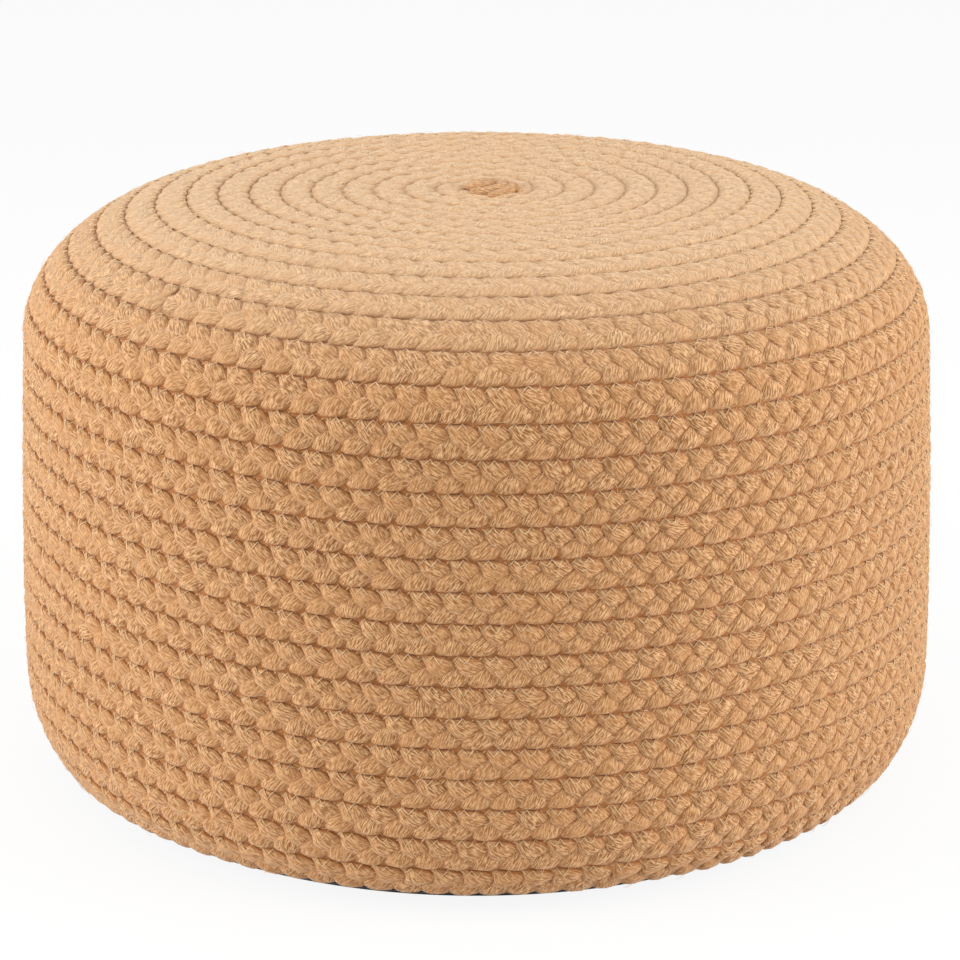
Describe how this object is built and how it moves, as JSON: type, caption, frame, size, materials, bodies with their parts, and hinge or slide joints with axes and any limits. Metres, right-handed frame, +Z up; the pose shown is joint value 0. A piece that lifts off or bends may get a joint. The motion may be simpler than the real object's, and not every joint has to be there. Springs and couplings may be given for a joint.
{
  "type": "outdoor ottoman footstool",
  "caption": "Round pouf of braided rope wound row on row, with a dark fabric base that zips open to take out a bag of beads.",
  "frame": {"origin": "middle of the base, on the ground", "axes": "+Z up, -Y towards the front that the picture shows, +X to the right as seen from the front; the zip runs along X"},
  "size_m": [0.5081, 0.5081, 0.3201],
  "materials": {
    "braid": "natural tan plaited fibre rope, matt and slightly hairy",
    "base_cloth": "dark plain woven cloth",
    "zip_tape": "dark herringbone woven tape",
    "zip_teeth": "moulded dark acetal",
    "zip_slider": "cast zinc, dark semi-gloss enamel",
    "bag_cloth": "thin off-white non-woven cloth",
    "beads": "loose expanded foam beads, bulk"
  },
  "bodies": {
    "cover": {"top_braid": "braid", "side_braid": "braid", "base_panel_front": "base_cloth", "base_panel_back": "base_cloth", "zip_tape_front": "zip_tape", "zip_tape_back": "zip_tape", "zip_teeth_front": "zip_teeth", "zip_teeth_back": "zip_teeth", "zip_bottom_stop": "zip_teeth", "zip_top_stop_front": "zip_teeth", "zip_top_stop_back": "zip_teeth", "bag_top": "bag_cloth", "bag_side": "bag_cloth", "bag_base": "bag_cloth", "bead_fill": "beads"},
    "zip_slider": {"zip_slider": "zip_slider"},
    "zip_pull": {"zip_pull": "zip_slider"}
  },
  "joints": [
    {"name": "zip_slide", "type": "slide", "parent": "cover", "child": "zip_slider", "axis": [1, 0, 0], "range_m": [-0.2869, 0], "deforming": ["zip_teeth_front", "zip_teeth_back"]},
    {"name": "pull_hinge", "type": "hinge", "parent": "zip_slider", "child": "zip_pull", "pos_m": [0.1489, 0, 0.00583], "axis": [0, 1, 0], "range_deg": [-8.5, 171.5]}
  ]
}
